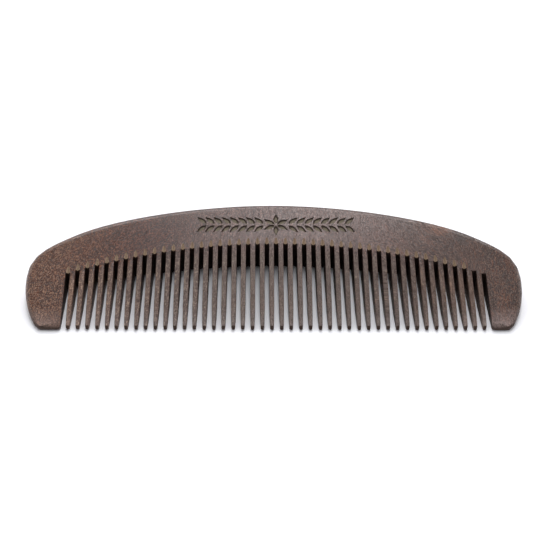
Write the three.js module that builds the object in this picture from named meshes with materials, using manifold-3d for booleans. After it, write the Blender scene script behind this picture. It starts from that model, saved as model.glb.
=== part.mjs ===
// Wooden beard comb: one sawn and sanded board of dark wood, lying on its back face.
// Millimetres, +Z up. The comb is drawn upright in its own plane first (x along its length,
// y from the tooth tips up to the crest, z through its thickness) and then laid down, so that
// the tapered back face is at z = 0 and the tooth tips point along -Y.
// The board is divided on plane cuts into a spine, two end guards and its teeth.

import * as THREE from 'three';
import { mergeVertices } from 'three/addons/utils/BufferGeometryUtils.js';
import Module from 'manifold-3d';

const wasm = await Module();
wasm.setup();

// ---------------------------------------------------------------- driving dimensions

const combLength = 140; // end to end, at the widest line
const combWidth = 43.5; // tooth tips to crest
const widestHeight = 16.8; // height above the tips where the comb is longest

const shoulderInset = 13; // the shoulder's place, inwards from the end of the comb
const shoulderDrop = 11.9; // and down from the crest
const shoulderSlope = 29; // degrees, how steeply the outline falls there
const flankRadius = 31; // outer side of each end guard, down to the tips

const slotCount = 45;
const slotWidth = 1.34;
const leftGuardWidth = 11.25; // at the widest line, up to the wall of the first slot
const rightGuardWidth = 10.25;
const rootHeight = 27.4; // root of the middle slot above the tips
const rootRadius = 177; // arc through the roots of all the slots

const rootThickness = 10.1; // at the root of the middle slot
const tipThickness = 1.46;
const taperRise = 3.5; // the taper goes on this far above the root of the middle slot
const edgeRound = 2.4; // rounding of the outer edge where the board is thickest

const toothTaperLength = 7.5; // the last stretch of a tooth, where it narrows
const toothPointLength = 0.9; // the blunt point at the very end
const toothPointWidth = 1.06; // width where the point starts
const toothEndWidth = 0.62;
const endThickness = 0.8; // edge left at the tips and the guard ends
const endBevelLength = 0.6; // bevel on both faces at the tips and the guard ends
const edgeBevel = 0.32; // corner taken off a tooth's long edges at its tip
const edgeBevelShare = 0.7; // share of the tooth's length over which that bevel runs out

const guardOuterCorner = 1;
const guardInnerCorner = 0.9;

const grooveLength = 2.4; // pointed run-out groove above each slot, on both faces
const grooveWidth = 1.16;
const grooveDepth = 0.5;
const plainSlots = 2; // slots at the right end that have no groove

const woodColor = 0x5c4a43;
const toothColor = 0x655349;
const woodRoughness = 0.55;
const crestSteps = 20; // straight pieces in the outline from the middle to a shoulder
const endSteps = 16; // from a shoulder to the end
const flankSteps = 10;

// ---------------------------------------------------------------- worked-out sizes

const toothCount = slotCount - 1;
const slotPitch = (combLength - leftGuardWidth - rightGuardWidth - slotWidth) / toothCount;
const slotShift = (leftGuardWidth - rightGuardWidth) / 2; // the row's middle, off the comb's
const toothWidth = slotPitch - slotWidth;
const halfLength = combLength / 2;
const taperSlope = (rootThickness - tipThickness) / 2 / rootHeight;
const taperAngle = Math.atan(taperSlope);
const spineThickness = 2 * halfThicknessAt(rootHeight + taperRise);
const beyond = 5; // how far cutting shapes reach past the wood
const clearThickness = combWidth; // thickness of shapes that cut right through

function halfThicknessAt(height) {
  return tipThickness / 2 + taperSlope * height;
}

function slotX(index) {
  return slotShift + (index - (slotCount - 1) / 2) * slotPitch;
}

function slotRoot(index) {
  const offset = slotX(index) - slotShift;
  return rootHeight - rootRadius + Math.sqrt(rootRadius ** 2 - offset ** 2);
}

// ---------------------------------------------------------------- solids and cuts

function toSolid(geometry) {
  const bare = geometry.index ? geometry.toNonIndexed() : geometry;
  bare.deleteAttribute('normal');
  bare.deleteAttribute('uv');
  const merged = mergeVertices(bare, 1e-5);
  const mesh = new wasm.Mesh({
    numProp: 3,
    vertProperties: new Float32Array(merged.attributes.position.array),
    triVerts: new Uint32Array(merged.index.array),
  });
  return new wasm.Manifold(mesh);
}

function toGeometry(solid) {
  const mesh = solid.getMesh();
  const geometry = new THREE.BufferGeometry();
  geometry.setAttribute('position', new THREE.BufferAttribute(mesh.vertProperties, 3));
  geometry.setIndex(new THREE.BufferAttribute(mesh.triVerts, 1));
  geometry.computeVertexNormals();
  return geometry;
}

function block(xMin, xMax, yMin, yMax) {
  const geometry = new THREE.BoxGeometry(xMax - xMin, yMax - yMin, clearThickness);
  geometry.translate((xMin + xMax) / 2, (yMin + yMax) / 2, 0);
  return toSolid(geometry);
}

// A flat outline in the comb's plane, given a thickness either side of the middle.
function plate(shape, thickness, bevel = {}) {
  const inset = bevel.thickness ?? 0;
  const geometry = new THREE.ExtrudeGeometry(shape, {
    depth: thickness - 2 * inset,
    curveSegments: 1,
    bevelEnabled: inset > 0,
    bevelThickness: inset,
    bevelSize: bevel.size ?? 0,
    bevelOffset: -(bevel.size ?? 0),
    bevelSegments: 4,
  });
  geometry.translate(0, 0, inset - thickness / 2);
  return geometry;
}

// A section drawn in (y, z), drawn out along x.
function bar(points, xMin, xMax) {
  const section = new THREE.Shape(points.map(([y, z]) => new THREE.Vector2(y, z)));
  const geometry = new THREE.ExtrudeGeometry(section, { depth: xMax - xMin, bevelEnabled: false });
  geometry.rotateZ(Math.PI / 2);
  geometry.rotateY(Math.PI / 2);
  geometry.translate(xMin, 0, 0);
  return toSolid(geometry);
}

// ---------------------------------------------------------------- outline of the board

// A smooth stretch between two points, with its direction at each as degrees of fall and its
// fullness at each as a share of the distance between them.
function sweep(from, to, steps) {
  const span = Math.hypot(to.x - from.x, to.y - from.y);
  const reach = (end, sign) => {
    const fall = THREE.MathUtils.degToRad(end.fall);
    const pull = sign * span * end.fullness;
    return new THREE.Vector2(end.x + pull * Math.cos(fall), end.y - pull * Math.sin(fall));
  };
  const start = new THREE.Vector2(from.x, from.y);
  const end = new THREE.Vector2(to.x, to.y);
  const curve = new THREE.CubicBezierCurve(start, reach(from, 1), reach(to, -1), end);
  return curve.getPoints(steps);
}

// The right half, from the middle of the crest over the shoulder to the end of the comb, and
// down the flank, an arc that leaves the end upright.
function rightHalf(lowest) {
  const shoulder = {
    x: halfLength - shoulderInset,
    y: combWidth - shoulderDrop,
    fall: shoulderSlope,
  };
  const crest = { x: 0, y: combWidth, fall: 0, fullness: 0.35 };
  const end = { x: halfLength, y: widestHeight, fall: 90, fullness: 0.37 };
  const points = [
    ...sweep(crest, { ...shoulder, fullness: 0.25 }, crestSteps),
    ...sweep({ ...shoulder, fullness: 0.5 }, end, endSteps).slice(1),
  ];
  const flankSpan = Math.asin((widestHeight - lowest) / flankRadius);
  for (let step = 1; step <= flankSteps; step += 1) {
    const angle = (flankSpan * step) / flankSteps;
    points.push(new THREE.Vector2(flankX(angle), widestHeight - flankRadius * Math.sin(angle)));
  }
  return points;
}

// Where the flank is, at an angle below the widest line as seen from the flank's centre.
function flankX(angle) {
  return halfLength - flankRadius * (1 - Math.cos(angle));
}

function mirrored(points) {
  return points.map((point) => new THREE.Vector2(-point.x, point.y)).reverse();
}

// The wood outside a rounded corner, to be cut away: corner at (x, 0), wood on the `side` of it.
function cornerWaste(x, side, radius) {
  const shape = new THREE.Shape();
  shape.moveTo(x - side * beyond, -beyond);
  shape.lineTo(x + side * radius, -beyond);
  shape.lineTo(x + side * radius, 0);
  for (let step = 1; step <= 4; step += 1) {
    const angle = (step / 4) * (Math.PI / 2);
    shape.lineTo(x + side * radius * (1 - Math.sin(angle)), radius * (1 - Math.cos(angle)));
  }
  shape.lineTo(x - side * beyond, radius);
  shape.closePath();
  return toSolid(plate(shape, clearThickness));
}

// The whole board before it is sawn: a tapered plate and a parallel plate, each with a rounded
// edge, share the room inside both. The taper sets the lower part and the parallel plate the top.
function makeBoard() {
  const runOut = (0.8 * tipThickness) / 2 / taperSlope;
  const half = rightHalf(-runOut);
  const outline = new THREE.Shape([...mirrored(half), ...half.slice(1)]);
  const rounding = { thickness: edgeRound, size: edgeRound };
  const parallel = plate(outline, spineThickness, rounding);
  const tapered = plate(outline, spineThickness, rounding);
  const position = tapered.attributes.position;
  for (let index = 0; index < position.count; index += 1) {
    const share = halfThicknessAt(position.getY(index)) / (spineThickness / 2);
    position.setZ(index, position.getZ(index) * share);
  }
  return toSolid(parallel).intersect(toSolid(tapered));
}

// Bevels that thin the wood on both faces towards the line of the tips.
function endSection(top) {
  const bevelTop = halfThicknessAt(endBevelLength);
  const far = halfThicknessAt(top);
  return [
    [0, -endThickness / 2],
    [endBevelLength, -bevelTop],
    [top, -far],
    [top, far],
    [endBevelLength, bevelTop],
    [0, endThickness / 2],
  ];
}

// ---------------------------------------------------------------- the three kinds of piece

// Everything under the spine: one step for each slot, as wide as the slot and the tooth on
// its inner side, so that the spine ends on the roots of the slots.
function belowSpine() {
  const shape = new THREE.Shape();
  const middle = (slotCount - 1) / 2;
  shape.moveTo(-halfLength - beyond, -beyond);
  shape.lineTo(halfLength + beyond, -beyond);
  shape.lineTo(halfLength + beyond, slotRoot(slotCount - 1));
  for (let index = slotCount - 1; index > middle; index -= 1) {
    const innerWall = slotX(index - 1) + slotWidth / 2;
    shape.lineTo(innerWall, slotRoot(index));
    shape.lineTo(innerWall, slotRoot(index - 1));
  }
  for (let index = Math.ceil(middle); index > 0; index -= 1) {
    const outerWall = slotX(index) - slotWidth / 2;
    shape.lineTo(outerWall, slotRoot(index));
    shape.lineTo(outerWall, slotRoot(index - 1));
  }
  shape.lineTo(-halfLength - beyond, slotRoot(0));
  shape.closePath();
  return toSolid(plate(shape, clearThickness));
}

// A four-sided point lying in the face, its tip towards the crest.
function grooveCutter(index, face) {
  const overlap = 0.2;
  const length = grooveLength + overlap;
  const geometry = new THREE.ConeGeometry(1, length, 4);
  const spread = length / grooveLength;
  geometry.scale((grooveWidth / 2) * spread, 1, grooveDepth * spread);
  geometry.translate(0, length / 2 - overlap, 0);
  geometry.rotateX(face * taperAngle);
  const root = slotRoot(index);
  geometry.translate(slotX(index), root, face * halfThicknessAt(root));
  return toSolid(geometry);
}

function makeSpine(board) {
  let spine = board.subtract(belowSpine());
  for (let index = 0; index < slotCount - plainSlots; index += 1) {
    for (const face of [1, -1]) {
      spine = spine.subtract(grooveCutter(index, face));
    }
  }
  return spine;
}

function makeGuard(board, side) {
  const slot = side < 0 ? 0 : slotCount - 1;
  const inner = slotX(slot) + (side * slotWidth) / 2;
  const outer = side * (halfLength + beyond);
  const endX = side * flankX(Math.asin((widestHeight - guardOuterCorner) / flankRadius));
  return board
    .intersect(block(Math.min(inner, outer), Math.max(inner, outer), 0, slotRoot(slot)))
    .intersect(bar(endSection(combWidth), -halfLength - beyond, halfLength + beyond))
    .subtract(cornerWaste(inner, side, guardInnerCorner))
    .subtract(cornerWaste(endX, -side, guardOuterCorner));
}

// One tooth as long as the middle ones, on x = 0.
function makeTooth() {
  const shape = new THREE.Shape();
  shape.moveTo(-toothEndWidth / 2, 0);
  shape.lineTo(toothEndWidth / 2, 0);
  shape.lineTo(toothPointWidth / 2, toothPointLength);
  shape.lineTo(toothWidth / 2, toothTaperLength);
  shape.lineTo(toothWidth / 2, rootHeight);
  shape.lineTo(-toothWidth / 2, rootHeight);
  shape.lineTo(-toothWidth / 2, toothTaperLength);
  shape.lineTo(-toothPointWidth / 2, toothPointLength);
  shape.closePath();
  const flat = toSolid(plate(shape, clearThickness));
  const wedge = bar(endSection(rootHeight), -toothWidth, toothWidth);
  // A square bar set on its corner takes the bevel off all four long edges at once.
  const tipReach = toothWidth / 2 + halfThicknessAt(0) - edgeBevel;
  const topGain = edgeBevel / edgeBevelShare;
  const topReach = toothWidth / 2 + halfThicknessAt(rootHeight) - edgeBevel + topGain;
  const diamond = new THREE.CylinderGeometry(topReach, tipReach, rootHeight, 4);
  diamond.translate(0, rootHeight / 2, 0);
  return flat.intersect(wedge).intersect(toSolid(diamond));
}

// ---------------------------------------------------------------- assembly

const comb = new THREE.Group();
comb.name = 'beard_comb';

function place(name, solid, color, x = 0) {
  const material = new THREE.MeshStandardMaterial({ color, roughness: woodRoughness, metalness: 0 });
  const mesh = new THREE.Mesh(toGeometry(solid), material);
  mesh.name = name;
  mesh.position.x = x;
  comb.add(mesh);
}

const board = makeBoard();
const tooth = makeTooth();
place('spine', makeSpine(board), woodColor);
place('left_end_guard', makeGuard(board, -1), woodColor);
place('right_end_guard', makeGuard(board, 1), woodColor);
for (let index = 0; index < toothCount; index += 1) {
  const top = Math.min(slotRoot(index), slotRoot(index + 1));
  const number = String(index + 1).padStart(2, '0');
  const x = slotX(index) + slotPitch / 2;
  place(`tooth_${number}`, tooth.intersect(block(-toothWidth, toothWidth, 0, top)), toothColor, x);
}

// Laid on its back face, with the origin under the middle of the whole comb.
comb.rotation.x = taperAngle;
comb.updateMatrixWorld(true);
const box = new THREE.Box3().setFromObject(comb, true);
comb.position.set(0, -(box.min.y + box.max.y) / 2, (tipThickness / 2) * Math.cos(taperAngle));

export default comb;
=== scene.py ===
import math

import bmesh
import bpy
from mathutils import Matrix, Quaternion, Vector, geometry


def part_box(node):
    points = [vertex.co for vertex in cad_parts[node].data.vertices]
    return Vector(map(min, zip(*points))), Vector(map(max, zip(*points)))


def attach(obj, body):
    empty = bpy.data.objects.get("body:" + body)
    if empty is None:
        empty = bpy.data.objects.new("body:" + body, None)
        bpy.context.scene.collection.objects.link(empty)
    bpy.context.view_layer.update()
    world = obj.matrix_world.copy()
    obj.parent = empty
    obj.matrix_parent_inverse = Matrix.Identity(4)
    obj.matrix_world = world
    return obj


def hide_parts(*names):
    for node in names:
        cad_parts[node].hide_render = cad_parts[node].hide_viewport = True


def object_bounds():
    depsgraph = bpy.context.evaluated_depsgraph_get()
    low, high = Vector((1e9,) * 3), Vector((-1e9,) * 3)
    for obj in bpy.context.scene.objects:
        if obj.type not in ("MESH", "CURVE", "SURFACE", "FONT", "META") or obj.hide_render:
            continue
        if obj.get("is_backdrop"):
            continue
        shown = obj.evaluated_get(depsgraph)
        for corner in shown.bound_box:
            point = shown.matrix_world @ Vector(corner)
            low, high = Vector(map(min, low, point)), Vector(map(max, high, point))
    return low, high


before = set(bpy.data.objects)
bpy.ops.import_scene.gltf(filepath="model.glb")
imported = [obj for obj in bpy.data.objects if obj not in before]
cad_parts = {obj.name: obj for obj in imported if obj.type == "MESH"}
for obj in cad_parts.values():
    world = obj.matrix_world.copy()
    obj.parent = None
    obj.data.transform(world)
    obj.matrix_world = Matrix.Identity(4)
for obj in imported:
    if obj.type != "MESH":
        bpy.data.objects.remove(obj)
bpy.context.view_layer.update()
print("frame loaded:", len(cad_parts), "pieces of wood")

# Everything is drawn in the comb's own plane, in millimetres: x along its length, y from the
# line of the tooth tips up to the crest, z through the thickness from the middle of the board.
# It is then laid down on its tapered back, where the frame has it.
mm = 0.001

board = {
    "tipThickness": 1.46,
    "rootThickness": 10.1,  # at the root of the middle slot, before the crown takes some off
    "middleRoot": 27.4,  # height of that root
    "rootRadius": 177.0,  # of the arc through the slot roots
    "width": 43.5,
    "crownStart": 25.0,  # the taper starts to ease off here
    "crownEnd": 35.5,  # and the faces are level from here up
    "edgeRound": 2.7,
    "endHalf": 0.4,  # half of the edge left at the tips
}
tipHalf = board["tipThickness"] / 2
taperSlope = (board["rootThickness"] - board["tipThickness"]) / 2 / board["middleRoot"]
taperAngle = math.atan(taperSlope)
lift = tipHalf * math.cos(taperAngle)
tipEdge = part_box("left_end_guard")[0].y / mm
tipLine = tipEdge + board["endHalf"] * math.sin(taperAngle)


def halfAt(y):
    # half the board's thickness, straight at first and then crowned
    span = board["crownEnd"] - board["crownStart"]
    above = min(max(y - board["crownStart"], 0), span)
    rise = min(y, board["crownStart"]) + above - above**2 / (2 * span)
    return tipHalf + taperSlope * rise


def heightOf(nodeName):
    # height in the comb's plane of the top of a piece that ends square to that plane
    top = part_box(nodeName)[1].y / mm
    return (top - tipLine - tipHalf * math.sin(taperAngle)) * math.cos(taperAngle)


# where the frame has the teeth, the slots and the end guards
toothNames = sorted(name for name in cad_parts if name.startswith("tooth_"))
toothX = [sum(corner.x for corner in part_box(name)) / 2 / mm for name in toothNames]
toothTops = [heightOf(name) for name in toothNames]
middleTooth = len(toothNames) // 2
toothWidth = (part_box(toothNames[0])[1].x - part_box(toothNames[0])[0].x) / mm
slotPitch = (toothX[-1] - toothX[0]) / (len(toothX) - 1)
slotWidth = slotPitch - toothWidth
slotX = [toothX[0] + (index - 0.5) * slotPitch for index in range(len(toothX) + 1)]
slotRoots = toothTops[:middleTooth] + [board["middleRoot"]] + toothTops[middleTooth:]
leftWall = slotX[0] - slotWidth / 2
rightWall = slotX[-1] + slotWidth / 2
seam = slotRoots[0]  # where the end guards leave the spine
halfLength = (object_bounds()[1].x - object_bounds()[0].x) / 2 / mm


def meshObject(name, vertices, faces, materials=()):
    mesh = bpy.data.meshes.new(name)
    mesh.from_pydata(vertices, [], faces)
    for material in materials:
        mesh.materials.append(material)
    if faces:
        shape = bmesh.new()
        shape.from_mesh(mesh)
        bmesh.ops.recalc_face_normals(shape, faces=shape.faces)
        shape.to_mesh(mesh)
        shape.free()
    piece = bpy.data.objects.new(name, mesh)
    bpy.context.scene.collection.objects.link(piece)
    return piece


def loft(rings):
    # a closed skin over rings that all have the same number of points
    count = len(rings[0])
    vertices = [point for ring in rings for point in ring]
    faces = [list(range(count))[::-1]]
    for row in range(len(rings) - 1):
        for step in range(count):
            after = (step + 1) % count
            low, high = row * count, (row + 1) * count
            faces.append([low + step, low + after, high + after, high + step])
    last = (len(rings) - 1) * count
    faces.append([last + step for step in range(count)])
    return vertices, faces


def laidDown(points):
    # comb plane in millimetres to the frame in metres
    rise, run = math.sin(taperAngle), math.cos(taperAngle)
    return [
        (x * mm, (y * run - z * rise + tipLine) * mm, (y * rise + z * run + lift) * mm)
        for x, y, z in points
    ]


def add(tree, kind, inputs=None, **settings):
    node = tree.nodes.new(kind)
    for name, value in settings.items():
        setattr(node, name, value)
    for socketName, value in (inputs or {}).items():
        if isinstance(value, bpy.types.NodeSocket):
            tree.links.new(value, node.inputs[socketName])
        else:
            node.inputs[socketName].default_value = value
    return node


def calc(tree, operation, *values, kind="ShaderNodeMath"):
    return add(tree, kind, dict(enumerate(values)), operation=operation).outputs[0]


def addSockets(tree, inputs, outputs):
    for name, kind in inputs.items():
        tree.interface.new_socket(name, in_out="INPUT", socket_type="NodeSocket" + kind)
    for name, kind in outputs.items():
        tree.interface.new_socket(name, in_out="OUTPUT", socket_type="NodeSocket" + kind)
    start = tree.nodes.new("NodeGroupInput")
    return start.outputs, tree.nodes.new("NodeGroupOutput")


def finishMesh(mesh, sharpDegrees=20):
    mesh.shade_smooth()
    mesh.set_sharp_from_angle(angle=math.radians(sharpDegrees))


def useGroup(tree, group, links=None, **values):
    node = tree.nodes.new("ShaderNodeGroup")
    node.node_tree = group
    for name, socket in (links or {}).items():
        tree.links.new(socket, node.inputs[name])
    for name, value in values.items():
        node.inputs[name].default_value = value
    return node.outputs


def alongRamp(tree, along, stops):
    # a colour that changes along the comb, from {place: colour}
    node = add(tree, "ShaderNodeValToRGB", {0: along})
    ramp = node.color_ramp
    ramp.interpolation = "B_SPLINE"
    while len(ramp.elements) < len(stops):
        ramp.elements.new(0.5)
    for element, (x, colour) in zip(ramp.elements, sorted(stops.items())):
        element.position = 0.5 + x / (2 * halfLength)
        element.color = (*colour, 1)
    return node.outputs[0]


grainFlow = {
    # place along the comb and degrees that the fibres lean there
    "leans": {-70: 34, -38: 32, -14: 8, 8: 0, 24: -4, 36: -34, 48: -38, 60: -4, 70: 6},
    "straightBelow": 20.0,  # height up to which they run straight down the teeth
    "pivot": 31.0,  # height that they lean about
    "wander": 6.0,  # full width of their straying
    "wanderScale": 0.055,
}


def boardSpaceGroup():
    # object coordinates in metres turned into the comb's plane, and along the leaning grain
    tree = bpy.data.node_groups.new("boardSpace", "ShaderNodeTree")
    given, result = addSockets(
        tree, {"Vector": "Vector"}, {"Place": "Vector", "Fibre": "Vector", "Along": "Float"}
    )
    back = Vector((0, tipLine, lift))
    back.rotate(Quaternion((1, 0, 0), -taperAngle))
    place = add(
        tree,
        "ShaderNodeMapping",
        {
            "Vector": given["Vector"],
            "Scale": (1 / mm, 1 / mm, 1 / mm),
            "Rotation": (-taperAngle, 0, 0),
            "Location": -back,
        },
    )
    parts = add(tree, "ShaderNodeSeparateXYZ", {0: place.outputs[0]}).outputs
    share = calc(tree, "MULTIPLY_ADD", parts["X"], 1 / (2 * halfLength), 0.5)
    lean = add(tree, "ShaderNodeFloatCurve", {"Value": share})
    curve = lean.mapping.curves[0]
    ends = sorted(grainFlow["leans"].items())
    for x, degrees in ends[1:-1]:
        height = 0.5 + math.tan(math.radians(degrees)) / 2
        curve.points.new(0.5 + x / (2 * halfLength), height)
    curve.points[0].location = (0, 0.5 + math.tan(math.radians(ends[0][1])) / 2)
    curve.points[-1].location = (1, 0.5 + math.tan(math.radians(ends[-1][1])) / 2)
    lean.mapping.update()
    slope = calc(tree, "MULTIPLY_ADD", lean.outputs[0], 2.0, -1.0)
    bent = calc(tree, "MAXIMUM", parts["Y"], grainFlow["straightBelow"])
    reach = calc(tree, "SUBTRACT", bent, grainFlow["pivot"])
    wander = add(
        tree,
        "ShaderNodeTexNoise",
        {
            "Vector": place.outputs[0],
            "Scale": grainFlow["wanderScale"],
            "Detail": 2.0,
            "Roughness": 0.5,
        },
    ).outputs[0]
    drift = calc(tree, "MULTIPLY", calc(tree, "SUBTRACT", wander, 0.5), grainFlow["wander"])
    across = calc(tree, "SUBTRACT", parts["X"], calc(tree, "MULTIPLY", slope, reach))
    across = calc(tree, "ADD", across, drift)
    fibre = add(tree, "ShaderNodeCombineXYZ", {0: across, 1: parts["Y"], 2: parts["Z"]})
    tree.links.new(place.outputs[0], result.inputs["Place"])
    tree.links.new(fibre.outputs[0], result.inputs["Fibre"])
    tree.links.new(share, result.inputs["Along"])
    return tree


def grainLayerGroup():
    # one layer of streaks: noise drawn out along the fibres, as a mask between two levels
    tree = bpy.data.node_groups.new("grainLayer", "ShaderNodeTree")
    given, result = addSockets(
        tree,
        {"Fibre": "Vector", "Across": "Float", "Lengthwise": "Float", "From": "Float", "To": "Float"},
        {"Mask": "Float"},
    )
    shrink = add(
        tree, "ShaderNodeCombineXYZ", {0: given["Across"], 1: given["Lengthwise"], 2: given["Across"]}
    )
    scaled = calc(tree, "DIVIDE", given["Fibre"], shrink.outputs[0], kind="ShaderNodeVectorMath")
    noise = add(
        tree,
        "ShaderNodeTexNoise",
        {"Vector": scaled, "Scale": 1.0, "Detail": 2.0, "Roughness": 0.55},
    )
    mask = add(
        tree,
        "ShaderNodeMapRange",
        {"Value": noise.outputs[0], "From Min": given["From"], "From Max": given["To"]},
        interpolation_type="SMOOTHSTEP",
    )
    tree.links.new(mask.outputs[0], result.inputs["Mask"])
    return tree


def woodPatchGroup():
    # a soft oval patch in the comb's plane
    tree = bpy.data.node_groups.new("woodPatch", "ShaderNodeTree")
    given, result = addSockets(
        tree,
        {"Place": "Vector", "Centre": "Vector", "Size": "Vector", "Ragged": "Float"},
        {"Mask": "Float"},
    )
    offset = calc(tree, "SUBTRACT", given["Place"], given["Centre"], kind="ShaderNodeVectorMath")
    offset = calc(tree, "DIVIDE", offset, given["Size"], kind="ShaderNodeVectorMath")
    length = add(tree, "ShaderNodeVectorMath", {0: offset}, operation="LENGTH").outputs["Value"]
    rough = add(tree, "ShaderNodeTexNoise", {"Vector": given["Place"], "Scale": 0.45, "Detail": 3.0})
    bent = calc(tree, "MULTIPLY", calc(tree, "SUBTRACT", rough.outputs[0], 0.5), given["Ragged"])
    mask = add(
        tree,
        "ShaderNodeMapRange",
        {"Value": calc(tree, "ADD", length, bent), "From Min": 1.0, "From Max": 0.25},
        interpolation_type="SMOOTHSTEP",
    )
    tree.links.new(mask.outputs[0], result.inputs["Mask"])
    return tree


def endGrainAndShadeGroup():
    # where the fibres are cut across and face the tips: the ends of the teeth and the slot roots; their
    # darkening is partly the end grain's own and partly painted shade
    tree = bpy.data.node_groups.new("endGrainAndShade", "ShaderNodeTree")
    given, result = addSockets(tree, {"Normal": "Vector"}, {"Mask": "Float"})
    turned = add(tree, "ShaderNodeMapping", {"Vector": given["Normal"], "Rotation": (-taperAngle, 0, 0)})
    across = add(tree, "ShaderNodeSeparateXYZ", {0: turned.outputs[0]}).outputs["Y"]
    mask = add(
        tree,
        "ShaderNodeMapRange",
        {"Value": calc(tree, "MULTIPLY", across, -1.0), "From Min": 0.15, "From Max": 0.6},
        interpolation_type="SMOOTHSTEP",
    )
    tree.links.new(mask.outputs[0], result.inputs["Mask"])
    return tree


def rootFadeGroup():
    # how close a place on a tooth is to the arc of slot roots
    tree = bpy.data.node_groups.new("rootFade", "ShaderNodeTree")
    given, result = addSockets(tree, {"Vector": "Vector", "Reach": "Float"}, {"Mask": "Float"})
    space = useGroup(tree, boardSpace, {"Vector": given["Vector"]})
    parts = add(tree, "ShaderNodeSeparateXYZ", {0: space["Place"]}).outputs
    sag = calc(tree, "DIVIDE", calc(tree, "POWER", parts["X"], 2.0), 2 * board["rootRadius"])
    below = calc(tree, "SUBTRACT", calc(tree, "SUBTRACT", board["middleRoot"], sag), parts["Y"])
    mask = add(
        tree,
        "ShaderNodeMapRange",
        {"Value": calc(tree, "DIVIDE", below, given["Reach"]), "From Min": 1.0, "From Max": 0.0},
        interpolation_type="SMOOTHSTEP",
    )
    tree.links.new(mask.outputs[0], result.inputs["Mask"])
    return tree


boardSpace = boardSpaceGroup()
grainLayer = grainLayerGroup()
woodPatch = woodPatchGroup()
endGrainAndShade = endGrainAndShadeGroup()
rootFade = rootFadeGroup()


def blendColour(tree, mask, under, over, mode="MIX"):
    node = tree.nodes.new("ShaderNodeMix")
    node.data_type = "RGBA"
    node.blend_type = mode
    for index, value in ((0, mask), (6, under), (7, over)):
        if isinstance(value, bpy.types.NodeSocket):
            tree.links.new(value, node.inputs[index])
        else:
            node.inputs[index].default_value = value
    return node.outputs[2]


heartwood = {
    "redBrown": (0.100, 0.056, 0.040, 1),
    "greyBrown": (0.105, 0.062, 0.048, 1),
    "darkBand": (0.050, 0.031, 0.026, 1),
    "fleck": (0.78, 0.64, 0.46, 1),
    "blueDark": (0.040, 0.031, 0.030, 1),
    "orange": (0.230, 0.105, 0.048, 1),
    "pore": (0.022, 0.014, 0.011, 1),
    # painted highlight near the tips
    "endSheen": (0.40, 0.40, 0.385, 1),
}
grainLayers = {
    # width and length of a streak, then the noise levels between which it comes up
    "broad": (6.0, 34.0, 0.40, 0.64),
    "bands": (1.5, 22.0, 0.44, 0.68),
    "streaks": (0.6, 7.0, 0.44, 0.62),
    "fibres": (0.2, 2.0, 0.30, 0.70),
    "pores": (0.2, 0.6, 0.52, 0.60),
    "flecks": (0.26, 0.5, 0.50, 0.59),
    "warmth": (1.8, 6.5, 0.48, 0.66),
    "blueStreaks": (3.2, 16.0, 0.40, 0.60),
    "orangeStreaks": (0.9, 10.0, 0.58, 0.68),
    "figure": (7.0, 17.0, 0.2, 0.8),
}
woodZones = {
    # place along the comb, and how strongly the zone shows there
    "red": {-70: 1, -45: 1, -20: 0.45, 10: 0.2, 34: 0.3, 70: 0.4},
    "fleck": {-70: 0.5, -62: 0.48, -46: 0.75, -28: 0.5, -6: 0.18, 30: 0.2, 70: 0.2},
    # where the painted highlight at the tips shows most
    "guard": {-70: 1, -61: 1, -56: 0.2, 56: 0.2, 61: 1, 70: 1},
    "darkEnd": {-70: 0, 18: 0, 34: 0.5, 50: 1, 70: 0.9},
}
woodPatches = {
    # centre and half sizes of two patches near the right end
    "orange": ((47.5, 33, 5), (4.5, 3.5, 20)),
    "blueDark": ((54, 30, 5), (4, 4.5, 20)),
}
growthLines = {
    "folds": 7.0,  # how often the broad figure is folded over into contours
    "faint": 0.22,  # distance from a contour at which a line begins to show
    "full": 0.04,  # and at which it is darkest
}


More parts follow.
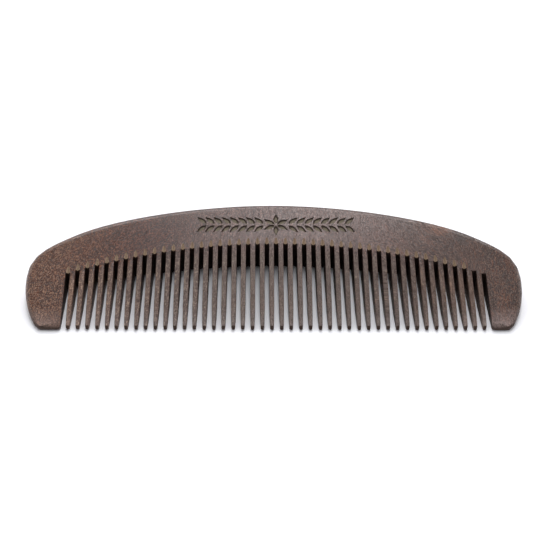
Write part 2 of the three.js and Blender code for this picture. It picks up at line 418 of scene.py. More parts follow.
def woodGrainGroup():
    # the wood itself: colour, a polish mask for the roughness and a height for the bump
    tree = bpy.data.node_groups.new("woodGrain", "ShaderNodeTree")
    given, result = addSockets(
        tree,
        {"Vector": "Vector", "Flecks": "Float", "Bands": "Float"},
        {"Colour": "Color", "Polish": "Float", "Height": "Float", "Along": "Float"},
    )
    space = add(tree, "ShaderNodeGroup", {"Vector": given["Vector"]}, node_tree=boardSpace).outputs

    def grain(layer):
        levels = dict(zip(("Across", "Lengthwise", "From", "To"), grainLayers[layer]))
        return useGroup(tree, grainLayer, {"Fibre": space["Fibre"]}, **levels)[0]

    def patch(name):
        centre, size = woodPatches[name]
        shape = {"Centre": centre, "Size": size, "Ragged": 0.8}
        return useGroup(tree, woodPatch, {"Place": space["Place"]}, **shape)[0]

    def zone(name):
        greys = {x: (level, level, level) for x, level in woodZones[name].items()}
        return alongRamp(tree, space["Along"], greys)

    streaks = grain("streaks")
    fibres = grain("fibres")
    pores = grain("pores")
    redZone = zone("red")
    darkEnd = zone("darkEnd")

    def laidOver(under, over, mask, *shares):
        for share in shares:
            mask = calc(tree, "MULTIPLY", mask, share)
        return blendColour(tree, mask, under, heartwood[over])

    colour = blendColour(tree, redZone, heartwood["greyBrown"], heartwood["redBrown"])
    colour = laidOver(colour, "orange", grain("warmth"), redZone, 0.25)
    colour = laidOver(colour, "darkBand", grain("broad"), 0.35)
    colour = laidOver(colour, "darkBand", grain("bands"), given["Bands"])
    colour = laidOver(colour, "blueDark", grain("blueStreaks"), darkEnd, 0.6)
    colour = laidOver(colour, "orange", grain("orangeStreaks"), darkEnd, 0.6)
    colour = laidOver(colour, "orange", patch("orange"), 0.75)
    colour = laidOver(colour, "blueDark", patch("blueDark"), 0.9)
    # growth lines: thin contours of a broad noise, showing where the figure is strongest
    figure = calc(tree, "MULTIPLY", grain("figure"), growthLines["folds"])
    contours = calc(tree, "PINGPONG", figure, 0.5)
    lines = add(
        tree,
        "ShaderNodeMapRange",
        {"Value": contours, "From Min": growthLines["faint"], "From Max": growthLines["full"]},
    )
    lines = calc(tree, "MULTIPLY", lines.outputs[0], darkEnd)
    colour = laidOver(colour, "pore", lines, 0.65)
    colour = laidOver(colour, "darkBand", streaks, 0.35)
    colour = laidOver(colour, "fleck", grain("flecks"), zone("fleck"), given["Flecks"])
    # painted highlight: the tips are paler, above all the two end guards, where a soft reflection is
    # painted into the colour
    height = add(tree, "ShaderNodeSeparateXYZ", {0: space["Place"]}).outputs["Y"]
    above = add(tree, "ShaderNodeMapRange", {"Value": height, "From Min": 1.0, "From Max": 6.5})
    tips = calc(tree, "SUBTRACT", 1.0, above.outputs[0])
    colour = laidOver(colour, "endSheen", tips, zone("guard"), 0.7)
    tint = calc(tree, "MULTIPLY_ADD", fibres, 0.7, 0.66)
    shade = add(tree, "ShaderNodeCombineXYZ", {0: tint, 1: tint, 2: tint}).outputs[0]
    colour = blendColour(tree, 1.0, colour, shade, "MULTIPLY")
    colour = laidOver(colour, "pore", pores, 0.75)

    height = calc(tree, "SUBTRACT", calc(tree, "MULTIPLY", fibres, 0.35), pores)
    height = calc(tree, "SUBTRACT", height, lines)
    polish = calc(tree, "MULTIPLY_ADD", pores, 0.3, calc(tree, "MULTIPLY", streaks, 0.05))
    polish = calc(tree, "MULTIPLY_ADD", lines, 0.35, polish)
    tree.links.new(colour, result.inputs["Colour"])
    tree.links.new(polish, result.inputs["Polish"])
    tree.links.new(height, result.inputs["Height"])
    tree.links.new(space["Along"], result.inputs["Along"])
    return tree


woodGrain = woodGrainGroup()


cutFacesAndShade = {
    # end grain and the walls along the slots are duller than the sanded faces, and darker: partly the
    # end grain's own colour, partly painted shade
    "colour": (0.030, 0.015, 0.010, 1),
    "extraRoughness": 0.45,
}


def woodMaterial(name, finish):
    material = bpy.data.materials.new(name)
    material.use_nodes = True
    tree = material.node_tree
    tree.nodes.clear()
    place = tree.nodes.new("ShaderNodeTexCoord").outputs["Object"]
    normal = tree.nodes.new("ShaderNodeNewGeometry").outputs["Normal"]
    wood = useGroup(tree, woodGrain, {"Vector": place}, Flecks=finish["flecks"], Bands=finish["bands"])
    colour = wood["Colour"]
    if "tint" in finish:
        colour = blendColour(tree, finish["tintShare"], colour, (*finish["tint"], 1))
    # the tone along the comb is partly the wood's own and partly painted sheen and shade: lighter and
    # bluer in the middle where the highlight falls, darker towards the ends and above all in the left
    # third
    toned = blendColour(tree, 1.0, colour, alongRamp(tree, wood["Along"], finish["toneAndSheen"]), "MULTIPLY")
    roughness = calc(tree, "ADD", wood["Polish"], finish["roughness"])
    if "rootFade" in finish:
        # the top of a tooth still has the spine's colour, its painted sheen included, and its polish
        spineFinish = woodFinishes["sandedWood"]
        near = useGroup(tree, rootFade, {"Vector": place}, Reach=finish["rootFade"])["Mask"]
        like = alongRamp(tree, wood["Along"], spineFinish["toneAndSheen"])
        like = blendColour(tree, 1.0, wood["Colour"], like, "MULTIPLY")
        toned = blendColour(tree, near, toned, like)
        change = spineFinish["roughness"] - finish["roughness"]
        roughness = calc(tree, "MULTIPLY_ADD", near, change, roughness)
    # partly end grain and partly painted shade on faces turned to the tips and on the slot roots
    cut = useGroup(tree, endGrainAndShade, {"Normal": normal})["Mask"]
    cut = calc(tree, "MULTIPLY", cut, finish["endGrainAndShade"])
    if "slotWallShade" in finish:
        # painted shade: walls that face the middle of the comb stand along a slot, where shade falls,
        # and are darkened
        aside = add(tree, "ShaderNodeSeparateXYZ", {0: normal}).outputs["X"]
        middleWay = calc(tree, "SIGN", calc(tree, "SUBTRACT", 0.5, wood["Along"]))
        inwards = calc(tree, "MULTIPLY", aside, middleWay)
        slotShade = add(tree, "ShaderNodeMapRange", {"Value": inwards, "From Min": 0.6, "From Max": 0.9})
        slotShade = calc(tree, "MULTIPLY", slotShade.outputs[0], finish["slotWallShade"])
        cut = calc(tree, "MAXIMUM", cut, slotShade)
    roughness = calc(tree, "MULTIPLY_ADD", cut, cutFacesAndShade["extraRoughness"], roughness)
    toned = blendColour(tree, cut, toned, cutFacesAndShade["colour"])
    # painted shade: the sloping walls of the engraved leaves are darkened, where shade falls in the
    # recess
    if "wall" in finish:
        upright = add(tree, "ShaderNodeSeparateXYZ", {0: normal}).outputs["Z"]
        wall = add(tree, "ShaderNodeMapRange", {"Value": upright, "From Min": 0.93, "From Max": 0.8})
        toned = blendColour(tree, wall.outputs[0], toned, (*finish["wall"], 1))
    bump = add(
        tree,
        "ShaderNodeBump",
        {"Height": wood["Height"], "Strength": finish["bump"], "Distance": 0.05 * mm},
    )
    shader = add(
        tree,
        "ShaderNodeBsdfPrincipled",
        {"Base Color": toned, "Roughness": roughness, "Normal": bump.outputs[0]},
    )
    shader.inputs["Specular IOR Level"].default_value = finish["shine"]
    output = tree.nodes.new("ShaderNodeOutputMaterial")
    tree.links.new(shader.outputs[0], output.inputs[0])
    return material


woodFinishes = {
    "sandedWood": {
        "flecks": 0.9,
        "bands": 0.35,
        # partly painted sheen and shade: lighter in the middle, where the highlight falls, and darker in
        # the left third
        "toneAndSheen": {
            -70: (0.72, 0.52, 0.47),
            -52: (0.42, 0.22, 0.175),
            -36: (0.25, 0.105, 0.095),
            -22: (0.42, 0.26, 0.26),
            0: (0.74, 0.55, 0.62),
            35: (0.66, 0.49, 0.51),
            70: (0.64, 0.48, 0.46),
        },
        "endGrainAndShade": 0.9,
        # painted shade on the walls along the slots
        "slotWallShade": 0.85,
        "roughness": 0.22,
        "bump": 0.36,
        "shine": 0.36,
    },
    "toothWood": {
        "flecks": 0.75,
        "bands": 0.25,
        "tint": (0.16, 0.105, 0.082),
        "tintShare": 0.3,
        # partly painted sheen and shade along the teeth, lighter and bluer in the middle
        "toneAndSheen": {
            -60: (0.94, 0.80, 0.76),
            -46: (0.66, 0.58, 0.60),
            -28: (0.64, 0.61, 0.65),
            -12: (0.82, 0.86, 0.94),
            12: (0.72, 0.73, 0.79),
            38: (0.60, 0.59, 0.61),
            52: (0.84, 0.77, 0.77),
            70: (1.02, 1.00, 1.00),
        },
        "rootFade": 5.0,  # length over which the spine's finish dies away
        "endGrainAndShade": 0.9,
        "roughness": 0.5,
        "bump": 0.4,
        "shine": 0.3,
    },
    "rawCut": {
        "flecks": 0.7,
        "bands": 0.2,
        "tint": (0.29, 0.205, 0.14),
        "tintShare": 0.7,
        "toneAndSheen": {-70: (1, 1, 1), 70: (1, 1, 1)},
        "endGrainAndShade": 0.0,
        "roughness": 0.75,
        "bump": 0.6,
        "shine": 0.2,
    },
    "burntLine": {
        "flecks": 0.3,
        "bands": 0.2,
        "tint": (0.140, 0.122, 0.085),
        "tintShare": 0.75,
        "toneAndSheen": {-70: (1, 1, 1), 70: (1, 1, 1)},
        "endGrainAndShade": 0.0,
        # painted shade on the walls of the leaves
        "wall": (0.035, 0.024, 0.018),
        "roughness": 0.65,
        "bump": 0.5,
        "shine": 0.2,
    },
}
woods = {name: woodMaterial(name, finish) for name, finish in woodFinishes.items()}
print("materials made:", ", ".join(woods))


outline = {
    # from the middle of the crest down to the tips
    "widest": 16.8,  # height where the comb is longest
    "shoulderInset": 13.0,
    "shoulderDrop": 11.9,
    "shoulderFall": 29.0,  # degrees
    "crestFullness": 0.35,
    "shoulderFullness": (0.25, 0.5),
    "endFullness": 0.37,
    "flankRadius": 31.0,
}


def sweep(start, end, steps=60):
    span = math.dist(start["at"], end["at"])
    handles = []
    for place, sign in ((start, 1), (end, -1)):
        fall = math.radians(place["fall"])
        pull = sign * span * place["fullness"]
        x, y = place["at"]
        handles.append((x + pull * math.cos(fall), y - pull * math.sin(fall), 0))
    first, last = (*start["at"], 0), (*end["at"], 0)
    return [point.xy for point in geometry.interpolate_bezier(first, *handles, last, steps)]


def crestHalf():
    shoulderAt = (halfLength - outline["shoulderInset"], board["width"] - outline["shoulderDrop"])
    shoulder = {"at": shoulderAt, "fall": outline["shoulderFall"]}
    crest = {"at": (0, board["width"]), "fall": 0, "fullness": outline["crestFullness"]}
    end = {"at": (halfLength, outline["widest"]), "fall": 90, "fullness": outline["endFullness"]}
    before, after = outline["shoulderFullness"]
    upper = sweep(crest, {**shoulder, "fullness": before})
    return upper + sweep({**shoulder, "fullness": after}, end)[1:]


rightCrest = crestHalf()


def flankX(y):
    # how far out the wood goes on either side at this height, up to the seam
    if y >= outline["widest"]:
        for upper, lower in zip(rightCrest, rightCrest[1:]):
            if lower.y <= y <= upper.y:
                share = (upper.y - y) / (upper.y - lower.y)
                return upper.x + share * (lower.x - upper.x)
    radius = outline["flankRadius"]
    drop = outline["widest"] - y
    return halfLength - radius + math.sqrt(radius**2 - drop**2)


def crestLine():
    # the outline above the seam, left to right
    half = [point for point in rightCrest if point.y > seam] + [Vector((flankX(seam), seam))]
    return [Vector((-point.x, point.y)) for point in reversed(half)] + half[1:]


def evenly(points, shares):
    # points at these shares of a line's length, each with its inward direction
    lengths = [0]
    for before, after in zip(points, points[1:]):
        lengths.append(lengths[-1] + (after - before).length)
    found = []
    index = 0
    for share in shares:
        goal = share * lengths[-1]
        while index < len(points) - 2 and lengths[index + 1] < goal:
            index += 1
        before, after = points[index], points[index + 1]
        place = before.lerp(after, (goal - lengths[index]) / (after - before).length)
        ahead = points[min(index + 2, len(points) - 1)] - points[max(index - 1, 0)]
        found.append((place, Vector((ahead.y, -ahead.x)).normalized()))
    return found


def rounding(radius, steps=8):
    # how far in from the outline and how far below the face, from the rim up to the face
    quarter = [math.pi / 2 * step / steps for step in range(steps + 1)]
    return [(radius * (1 - math.cos(turn)), radius * (1 - math.sin(turn))) for turn in quarter]


# the spine's blank follows the stair of slot roots below and the crest above
spine = {
    "columnsInside": 11,
    "lastColumn": 0.985,  # share of the way to the crest's rounding, to keep that edge crisp
    "rimSteps": 3,
    "stairWeight": 0.7,
}


def stairLine():
    line = []
    middle = len(slotX) // 2
    for index, root in enumerate(slotRoots):
        left = slotX[index] - slotWidth / 2 if index <= middle else slotX[index - 1] + slotWidth / 2
        right = slotX[index] + slotWidth / 2 if index >= middle else slotX[index + 1] - slotWidth / 2
        line += [Vector((left, root)), Vector((right, root))]
    return line


def mirroredRing(front, rimSteps):
    # front points run from the inside to the rim; the back is their mirror image
    x, y, z = front[-1]
    rim = [(x, y, z * (1 - 2 * step / rimSteps)) for step in range(1, rimSteps)]
    return front + rim + [(x, y, -z) for x, y, z in reversed(front)]


def spineBlank():
    stair = stairLine()
    travel = [0]
    for before, after in zip(stair, stair[1:]):
        travel.append(travel[-1] + max((after - before).length, spine["stairWeight"]))
    edge = evenly(crestLine(), [way / travel[-1] for way in travel])
    rings = []
    for index, (base, (rim, inward)) in enumerate(zip(stair, edge)):
        if index in (0, len(stair) - 1):
            inward = Vector((math.copysign(1, -rim.x), 0))
        rounded = [(rim + inward * inset, drop) for inset, drop in rounding(board["edgeRound"])]
        shoulder = rounded[-1][0]
        shares = [step / spine["columnsInside"] for step in range(spine["columnsInside"])]
        flat = [base.lerp(shoulder, share) for share in shares + [spine["lastColumn"]]]
        front = [(point.x, point.y, halfAt(point.y)) for point in flat]
        front += [(point.x, point.y, halfAt(point.y) - drop) for point, drop in reversed(rounded)]
        rings.append(mirroredRing(front, spine["rimSteps"]))
    return loft(rings)


# grooves and ornament are cut into the spine by a node tree
groove = {
    "width": 1.12,
    "length": 2.05,
    "depth": 0.5,
    "clearance": 0.6,  # how far the cutter stands out of the face
    "plainSlots": 2,  # slots at the right end without a groove
}
ornament = {
    "centre": (0.5, 34.3),
    "pairs": 8,  # pairs of leaves on either side of the middle
    "firstPair": 3.6,  # their distance from the middle
    "spacing": 2.35,
    "leafLength": 3.9,
    "leafWidth": 1.5,
    "lean": 43.0,  # degrees between a leaf and the band
    "stemGap": 0.3,  # between a leaf's foot and the band's middle line
    "depth": 0.34,
    "floorShare": 0.62,  # size of a leaf's floor against its rim
    "rosette": 6,  # leaves in the middle
    "rosetteGap": 0.3,
}


def grooveCutter():
    # a pointed arch in the face, v-shaped in section, with z measured from the face
    rings = []
    for share, spread in ((-0.08, 1.0), (0.3, 0.92), (0.6, 0.7), (0.85, 0.38), (0.99, 0.08)):
        half = groove["width"] / 2 * spread
        deep = groove["depth"] * spread
        y = share * groove["length"]
        mouth = groove["clearance"]
        ring = [(0, y, -deep), (half, y, 0.0), (half, y, mouth), (-half, y, mouth), (-half, y, 0.0)]
        rings.append(ring)
    return loft(rings)


def leafCutter():
    steps = 7
    length, wide = ornament["leafLength"], ornament["leafWidth"]

    def edge(scale, z):
        upper = []
        for step in range(steps):
            share = step / (steps - 1)
            bulge = math.sin(math.pi * share**0.8)
            upper.append((length * (0.5 + (share - 0.5) * scale), wide / 2 * bulge * scale, z))
        lower = [(x, -y, z) for x, y, z in upper[-2:0:-1]]
        return upper + lower

    return loft([edge(ornament["floorShare"], -ornament["depth"]), edge(1, 0.0), edge(1, 1.0)])


def halfThicknessTree():
    tree = bpy.data.node_groups.new("halfThickness", "GeometryNodeTree")
    given, result = addSockets(tree, {"Height": "Float"}, {"Half": "Float"})
    span = board["crownEnd"] - board["crownStart"]
    above = calc(tree, "SUBTRACT", given["Height"], board["crownStart"])
    above = calc(tree, "MINIMUM", calc(tree, "MAXIMUM", above, 0.0), span)
    eased = calc(tree, "MULTIPLY", calc(tree, "POWER", above, 2.0), -1 / (2 * span))
    rise = calc(tree, "ADD", calc(tree, "MINIMUM", given["Height"], board["crownStart"]), above)
    rise = calc(tree, "ADD", rise, eased)
    tree.links.new(calc(tree, "MULTIPLY_ADD", rise, taperSlope, tipHalf), result.inputs[0])
    return tree


halfThickness = halfThicknessTree()


def halfOf(tree, height):
    node = tree.nodes.new("GeometryNodeGroup")
    node.node_tree = halfThickness
    tree.links.new(height, node.inputs[0])
    return node.outputs[0]


def layDownNode(tree, shape, given):
    # turned in place first, so the scale to metres comes last
    turned = add(
        tree,
        "GeometryNodeTransform",
        {0: shape, "Rotation": given["Taper"], "Translation": given["Shift"]},
    )
    return add(tree, "GeometryNodeTransform", {0: turned.outputs[0], "Scale": (mm, mm, mm)}).outputs[0]


def carvingTree():
    tree = bpy.data.node_groups.new("carveSpine", "GeometryNodeTree")
    given, result = addSockets(
        tree,
        {
            "Blank": "Geometry",
            "Groove places": "Object",
            "Groove cutter": "Object",
            "Leaf places": "Object",
            "Leaf cutter": "Object",
            "Face wood": "Material",
            "Groove wood": "Material",
            "Leaf wood": "Material",
            "Taper": "Vector",
            "Shift": "Vector",
        },
        {"Spine": "Geometry"},
    )

    def cutters(places, cutter, rotation, material):
        points = add(tree, "GeometryNodeObjectInfo", {0: given[places]}).outputs["Geometry"]
        shape = add(tree, "GeometryNodeObjectInfo", {0: given[cutter]}).outputs["Geometry"]
        placed = add(tree, "GeometryNodeInstanceOnPoints", {"Points": points, "Instance": shape})
        if rotation:
            turn = add(tree, "GeometryNodeInputNamedAttribute", {0: rotation}, data_type="FLOAT_VECTOR")
            euler = add(tree, "FunctionNodeEulerToRotation", {0: turn.outputs[0]})
            tree.links.new(euler.outputs[0], placed.inputs["Rotation"])
        real = add(tree, "GeometryNodeRealizeInstances", {0: placed.outputs[0]}).outputs[0]
        spot = tree.nodes.new("GeometryNodeInputPosition").outputs[0]
        height = add(tree, "ShaderNodeSeparateXYZ", {0: spot}).outputs["Y"]
        raised = add(tree, "ShaderNodeCombineXYZ", {2: halfOf(tree, height)}).outputs[0]
        onFace = add(tree, "GeometryNodeSetPosition", {0: real, "Offset": raised}).outputs[0]
        return add(tree, "GeometryNodeSetMaterial", {0: onFace, "Material": given[material]}).outputs[0]

    grooves = cutters("Groove places", "Groove cutter", None, "Groove wood")
    leaves = cutters("Leaf places", "Leaf cutter", "turn", "Leaf wood")
    across = add(tree, "GeometryNodeTransform", {0: grooves, "Scale": (1, 1, -1)}).outputs[0]
    behind = add(tree, "GeometryNodeFlipFaces", {0: across}).outputs[0]
    plain = add(tree, "GeometryNodeSetMaterial", {0: given["Blank"], "Material": given["Face wood"]})
    tools = tree.nodes.new("GeometryNodeJoinGeometry")
    for shape in (leaves, behind, grooves):
        tree.links.new(shape, tools.inputs[0])
    cut = add(
        tree,
        "GeometryNodeMeshBoolean",
        {0: plain.outputs[0], "Mesh 2": tools.outputs[0]},
        operation="DIFFERENCE",
        solver="EXACT",
    )
    real = add(tree, "GeometryNodeRealizeInstances", {0: layDownNode(tree, cut.outputs[0], given)})
    inGroove = add(tree, "GeometryNodeMaterialSelection", {0: given["Groove wood"]}).outputs[0]
    inLeaf = add(tree, "GeometryNodeMaterialSelection", {0: given["Leaf wood"]}).outputs[0]
    carved = add(tree, "FunctionNodeBooleanMath", {0: inGroove, 1: inLeaf}, operation="NOR").outputs[0]
    done = add(
        tree,
        "GeometryNodeSetMaterial",
        {0: real.outputs[0], "Selection": carved, "Material": given["Face wood"]},
    )
    tree.links.new(done.outputs[0], result.inputs[0])
    return tree


def runTree(piece, tree, values):
    # sets the named inputs by their identifiers and keeps the result as a plain mesh
    modifier = piece.modifiers.new(tree.name, "NODES")
    modifier.node_group = tree
    for item in tree.interface.items_tree:
        if item.in_out == "INPUT" and item.name in values:
            modifier[item.identifier] = values[item.name]
    bpy.context.view_layer.update()
    seen = piece.evaluated_get(bpy.context.evaluated_depsgraph_get())
    result = bpy.data.meshes.new_from_object(seen)
    piece.modifiers.clear()
    return result


def pointsObject(name, points, attributes=None):
    piece = meshObject(name, points, [])
    for key, values in (attributes or {}).items():
        kind = "FLOAT_VECTOR" if isinstance(values[0], tuple) else "FLOAT"
        layer = piece.data.attributes.new(key, kind, "POINT")
        flat = [number for value in values for number in value] if kind == "FLOAT_VECTOR" else values
        layer.data.foreach_set("vector" if kind == "FLOAT_VECTOR" else "value", flat)
    return piece


def leafPlaces():
    # a rosette, and a row of leaning pairs of leaves to either side of it
    x0, y0 = ornament["centre"]
    gap = ornament["rosetteGap"]
    places, turns = [], []
    for index in range(ornament["rosette"]):
        turn = 2 * math.pi * index / ornament["rosette"] + math.pi / 6
        places.append((x0 + gap * math.cos(turn), y0 + gap * math.sin(turn), 0))
        turns.append((0, 0, turn))
    for side in (-1, 1):
        for index in range(ornament["pairs"]):
            for up in (-1, 1):
                out = side * (ornament["firstPair"] + index * ornament["spacing"])
                lean = math.radians(ornament["lean"]) * up
                places.append((x0 + out, y0 + up * ornament["stemGap"], 0))
                turns.append((0, 0, lean if side > 0 else math.pi - lean))
    return places, turns


layDown = {
    "Taper": (taperAngle, 0, 0),
    "Shift": (0, tipLine, lift),
}
grooved = len(slotX) - groove["plainSlots"]
helpers = {
    "Groove places": pointsObject(
        "groovePlaces", [(x, root, 0) for x, root in list(zip(slotX, slotRoots))[:grooved]]
    ),
    "Groove cutter": meshObject("grooveCutter", *grooveCutter()),
    "Leaf cutter": meshObject("leafCutter", *leafCutter()),
}
leafSpots, leafTurns = leafPlaces()
helpers["Leaf places"] = pointsObject("leafPlaces", leafSpots, {"turn": leafTurns})
woodInputs = {
    "Face wood": woods["sandedWood"],
    "Groove wood": woods["rawCut"],
    "Leaf wood": woods["burntLine"],
}
spinePiece = meshObject("wood_spine", *spineBlank())
spinePiece.data = runTree(spinePiece, carvingTree(), {**helpers, **woodInputs, **layDown})
finishMesh(spinePiece.data)
print("spine carved:", len(spinePiece.data.polygons), "faces")


guard = {
    "outerCorner": 1.0,
    "innerCorner": 0.9,
    "endBevel": 1.3,  # height of the blunted end by the slot wall; it dies away outwards
    "bevelAtCorner": 0.2,  # and by the outer corner
    "bevelRunOut": 3.0,  # height over which the bevel dies away
    "innerEdge": 0.04,  # rounding along the slot wall, at the tip
    "heights": (1.5, 2.1, 3.0, 4.2, 6, 8, 10, 12, 14, 16),
}


def cornerInset(y, radius):
    # how far a rounded corner at the end of a guard draws in at this height
    return radius - math.sqrt(radius**2 - max(radius - y, 0) ** 2)


def guardRing(side, y, half, bevel=0.0):
    # across the guard from the slot wall to the flank and back behind; the bevel lifts the
    # ring at the slot wall and dies away towards the flank
    wall = leftWall if side < 0 else rightWall
    inner = abs(wall) + cornerInset(y + bevel, guard["innerCorner"])
    outer = flankX(y) - cornerInset(y, guard["outerCorner"])
    lean = math.asin(min(max((outline["widest"] - y) / outline["flankRadius"], 0), 1))
    radius = min(board["edgeRound"], 0.8 * half)
    small = min(guard["innerEdge"] * (1 - y / seam) + 0.02, 0.6 * half)
    ring = [(inner + inset, half - drop) for inset, drop in rounding(small, 2)]
    rim = [(outer - inset / math.cos(lean), half - drop) for inset, drop in rounding(radius)]
    start, stop = ring[-1][0], rim[-1][0]
    shares = [0.02] + [step / 8 for step in range(1, 8)] + [0.98]
    ring += [(start + (stop - start) * share, half) for share in shares]
    ring += rim[::-1]
    front = []
    for x, z in ring:
        share = (x - inner) / (outer - inner)
        height = y + bevel * (1 - share**3)
        front.append((side * x, height, min(z, halfAt(height))))
    return mirroredRing(front, spine["rimSteps"])


def makeGuard(side):
    corner, extra = guard["bevelAtCorner"], guard["endBevel"] - guard["bevelAtCorner"]
    blunt, full = board["endHalf"], halfAt(corner + extra * 0.8)
    rings = []
    for step in (0, 0.1, 0.25, 0.5, 0.75, 0.95, 1):
        half = blunt + (full - blunt) * step**0.8
        rings.append(guardRing(side, corner * step, half, extra * step))
    for y in guard["heights"]:
        remaining = max(0, 1 - (y - corner) / guard["bevelRunOut"])
        rings.append(guardRing(side, y, halfAt(y), extra * remaining * 0.6))
    rings.append(guardRing(side, seam, halfAt(seam)))
    return loft(rings)


guards = {}
for name, side in (("left_end_guard", -1), ("right_end_guard", 1)):
    points, faces = makeGuard(side)
    guards[name] = meshObject("wood_" + name, laidDown(points), faces, [woods["sandedWood"]])
    finishMesh(guards[name].data)
print("end guards shaped")


# one tooth is set out on all the roots by a node tree and stretched to each root's height
tooth = {
    "widths": ((0, 0.6), (0.2, 0.84), (0.5, 1.0), (1.0, 1.07), (2.4, 1.13), (4.5, 1.22), (7.5, None)),
    "plainHeights": (11.0, 15.0, 20.0, None),  # the last is the template's top
    "endBevel": 0.5,
    "edge": 0.28,  # rounding of the long edges at the tip
    "edgeRunOut": 0.75,  # share of the length over which it dies away
    "uneven": (0.05, 0.12),  # the most a tip stands aside and falls short
    "seed": 11,
}


def toothTemplate():
    top = board["middleRoot"]
    stations = [(y, width or toothWidth) for y, width in tooth["widths"]]
    stations += [(y or top, toothWidth) for y in tooth["plainHeights"]]
    rings = []
    for y, width in stations:
        full = halfAt(y)
        growth = (halfAt(tooth["endBevel"]) - board["endHalf"]) / tooth["endBevel"]
        half = min(full, board["endHalf"] + growth * y)
        edge = 0.02 + tooth["edge"] * max(0, 1 - y / (top * tooth["edgeRunOut"]))
        edge = min(edge, 0.42 * min(width, 2 * half))
        corner = [(width / 2 - inset, half - drop) for inset, drop in rounding(edge, 2)]
        quarter = [(x, z / full) for x, z in corner]
        ring = [(x, y, z) for x, z in quarter]
        ring += [(-x, y, z) for x, z in reversed(quarter)]
        ring += [(-x, y, -z) for x, z in quarter]
        ring += [(x, y, -z) for x, z in reversed(quarter)]
        rings.append(ring)
    return loft(rings)


def teethTree():
    tree = bpy.data.node_groups.new("setOutTeeth", "GeometryNodeTree")
    given, result = addSockets(
        tree,
        {
            "Roots": "Geometry",
            "Tooth": "Object",
            "Tip zone": "Float",
            "Template height": "Float",
            "Uneven": "Vector",
            "Seed": "Int",
            "Taper": "Vector",
            "Shift": "Vector",
            "Wood": "Material",
        },
        {"Teeth": "Geometry"},
    )
    shape = add(tree, "GeometryNodeObjectInfo", {0: given["Tooth"]}).outputs["Geometry"]
    placed = add(tree, "GeometryNodeInstanceOnPoints", {"Points": given["Roots"], "Instance": shape})
    real = add(tree, "GeometryNodeRealizeInstances", {0: placed.outputs[0]}).outputs[0]
    top = add(tree, "GeometryNodeInputNamedAttribute", {0: "top"}, data_type="FLOAT").outputs[0]
    number = add(tree, "GeometryNodeInputNamedAttribute", {0: "number"}, data_type="FLOAT").outputs[0]
    spot = tree.nodes.new("GeometryNodeInputPosition").outputs[0]
    parts = add(tree, "ShaderNodeSeparateXYZ", {0: spot}).outputs
    past = calc(tree, "MAXIMUM", calc(tree, "SUBTRACT", parts["Y"], given["Tip zone"]), 0.0)
    extra = calc(tree, "SUBTRACT", top, given["Template height"])
    straight = calc(tree, "SUBTRACT", given["Template height"], given["Tip zone"])
    height = calc(tree, "MULTIPLY_ADD", past, calc(tree, "DIVIDE", extra, straight), parts["Y"])
    through = calc(tree, "MULTIPLY", parts["Z"], halfOf(tree, height))
    chance = add(
        tree,
        "FunctionNodeRandomValue",
        {"ID": number, "Seed": given["Seed"]},
        data_type="FLOAT_VECTOR",
    )
    chance.inputs[0].default_value = (-1, 0, 0)
    chance.inputs[1].default_value = (1, 1, 0)
    sway = calc(tree, "MULTIPLY", chance.outputs[0], given["Uneven"], kind="ShaderNodeVectorMath")
    free = calc(tree, "SUBTRACT", 1.0, calc(tree, "DIVIDE", height, top))
    sway = add(tree, "ShaderNodeVectorMath", {0: sway, "Scale": free}, operation="SCALE").outputs[0]
    goal = add(tree, "ShaderNodeCombineXYZ", {0: parts["X"], 1: height, 2: through}).outputs[0]
    shaped = add(tree, "GeometryNodeSetPosition", {0: real, "Position": goal, "Offset": sway})
    laid = layDownNode(tree, shaped.outputs[0], given)
    real = add(tree, "GeometryNodeRealizeInstances", {0: laid}).outputs[0]
    done = add(tree, "GeometryNodeSetMaterial", {0: real, "Material": given["Wood"]})
    tree.links.new(done.outputs[0], result.inputs[0])
    return tree


template = meshObject("toothTemplate", *toothTemplate())
roots = pointsObject(
    "toothRoots",
    [(x, 0, 0) for x in toothX],
    {"top": toothTops, "number": [float(index) for index in range(len(toothX))]},
)
teethInputs = {
    "Tooth": template,
    "Tip zone": tooth["widths"][-1][0],
    "Template height": board["middleRoot"],
    "Uneven": (*tooth["uneven"], 0),
    "Seed": tooth["seed"],
    "Wood": woods["toothWood"],
    **layDown,
}
allTeeth = runTree(roots, teethTree(), teethInputs)


def split(mesh, names):
    # the copies come out one after another, so each has its own run of points and faces
    pieces = []
    pointCount = len(mesh.vertices) // len(names)
    faceCount = len(mesh.polygons) // len(names)
    for index, name in enumerate(names):
        first = index * pointCount
        points = [vertex.co[:] for vertex in mesh.vertices[first:first + pointCount]]
        chosen = mesh.polygons[index * faceCount:(index + 1) * faceCount]
        faces = [[corner - first for corner in face.vertices] for face in chosen]
        pieces.append(meshObject(name, points, faces, [woods["toothWood"]]))
    return pieces


teeth = split(allTeeth, ["wood_" + name for name in toothNames])
for piece in teeth:
    finishMesh(piece.data)
print("teeth set out:", len(teeth))


# each piece of wood stands for its own piece of the frame
for helper in (*helpers.values(), template, roots):
    bpy.data.objects.remove(helper)
for piece in (spinePiece, *guards.values(), *teeth):
    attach(piece, "root")
    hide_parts(piece.name.removeprefix("wood_"))


studio = {
    "middle": 0.25,  # brightness of the dome in front, overhead and behind
    "sides": 1.35,  # and to the left and right
    "floorSize": 6.0,
    "floorColour": (0.90, 0.905, 0.945, 1),
    "floorRoughness": 0.6,
    "floorShine": 0.2,
    # soft boxes, in metres and watts; tilt is degrees back from straight up, turn is about the beam
    "strip": {
        "size": (0.165, 0.9),
        "distance": 1.0,
        "power": 4.5,
        "tilt": 14.2,
        "turn": -6.0,
        "aside": 0.02,
    },
    "backBox": {
        "size": (1.2, 0.5),
        "distance": 1.2,
        "power": 11.0,
        "tilt": 52.0,
        "turn": 0.0,
        "aside": 0.0,
    },
}


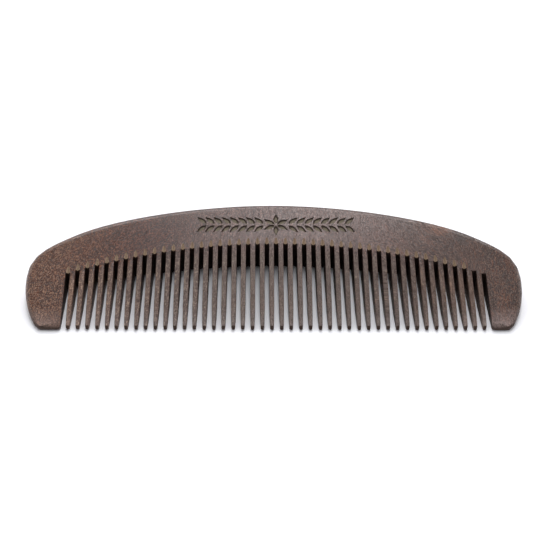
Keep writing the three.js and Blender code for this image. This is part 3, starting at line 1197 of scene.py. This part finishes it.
def makeFloor():
    half = studio["floorSize"] / 2
    corners = [(-half, -half, 0), (half, -half, 0), (half, half, 0), (-half, half, 0)]
    material = bpy.data.materials.new("paleTable")
    material.use_nodes = True
    shader = material.node_tree.nodes["Principled BSDF"]
    shader.inputs["Base Color"].default_value = studio["floorColour"]
    shader.inputs["Roughness"].default_value = studio["floorRoughness"]
    shader.inputs["Specular IOR Level"].default_value = studio["floorShine"]
    return meshObject("table", corners, [[0, 1, 2, 3]], [material])


makeFloor()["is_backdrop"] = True
world = bpy.data.worlds.new("paleStudio")
world.use_nodes = True
dome = world.node_tree
facing = dome.nodes.new("ShaderNodeTexCoord").outputs["Generated"]
sideways = add(dome, "ShaderNodeSeparateXYZ", {0: facing}).outputs["X"]
glow = add(
    dome,
    "ShaderNodeMapRange",
    {
        "Value": calc(dome, "ABSOLUTE", sideways),
        "From Min": 0.35,
        "From Max": 0.75,
        "To Min": studio["middle"],
        "To Max": studio["sides"],
    },
    interpolation_type="SMOOTHSTEP",
)
background = dome.nodes["Background"]
background.inputs["Color"].default_value = (1, 1, 1, 1)
dome.links.new(glow.outputs[0], background.inputs["Strength"])
bpy.context.scene.world = world


def hangSoftBox(name):
    made = studio[name]
    lamp = bpy.data.lights.new(name, "AREA")
    lamp.shape = "RECTANGLE"
    lamp.size, lamp.size_y = made["size"]
    lamp.energy = made["power"]
    box = bpy.data.objects.new(name, lamp)
    bpy.context.scene.collection.objects.link(box)
    tilt = math.radians(made["tilt"])
    direction = Vector((0, math.sin(tilt), math.cos(tilt)))
    box.location = (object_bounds()[0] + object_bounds()[1]) / 2 + direction * made["distance"]
    box.location.x += made["aside"]
    box.rotation_mode = "QUATERNION"
    turn = Quaternion((0, 0, 1), math.radians(made["turn"]))
    box.rotation_quaternion = Quaternion((1, 0, 0), -tilt) @ turn


hangSoftBox("strip")
hangSoftBox("backBox")

view = {
    "target": (0.175, -2.276, 3.787),  # millimetres
    "distance": 333.18,
    "azimuth": 1.276,  # degrees, as are the next two
    "elevation": 39.93,
    "roll": 0.93,
    "lens": 76.475,
}
lensData = bpy.data.cameras.new("camera")
lensData.lens = view["lens"]
camera = bpy.data.objects.new("camera", lensData)
bpy.context.scene.collection.objects.link(camera)
azimuth, elevation = math.radians(view["azimuth"]), math.radians(view["elevation"])
away = Vector(
    (
        -math.sin(azimuth) * math.cos(elevation),
        -math.cos(azimuth) * math.cos(elevation),
        math.sin(elevation),
    )
)
camera.location = (Vector(view["target"]) + away * view["distance"]) * mm
camera.rotation_mode = "QUATERNION"
roll = Quaternion((0, 0, 1), math.radians(view["roll"]))
camera.rotation_quaternion = (-away).to_track_quat("-Z", "Y") @ roll
bpy.context.scene.camera = camera
bpy.context.scene.view_settings.view_transform = "Standard"
print("table, light and camera ready")
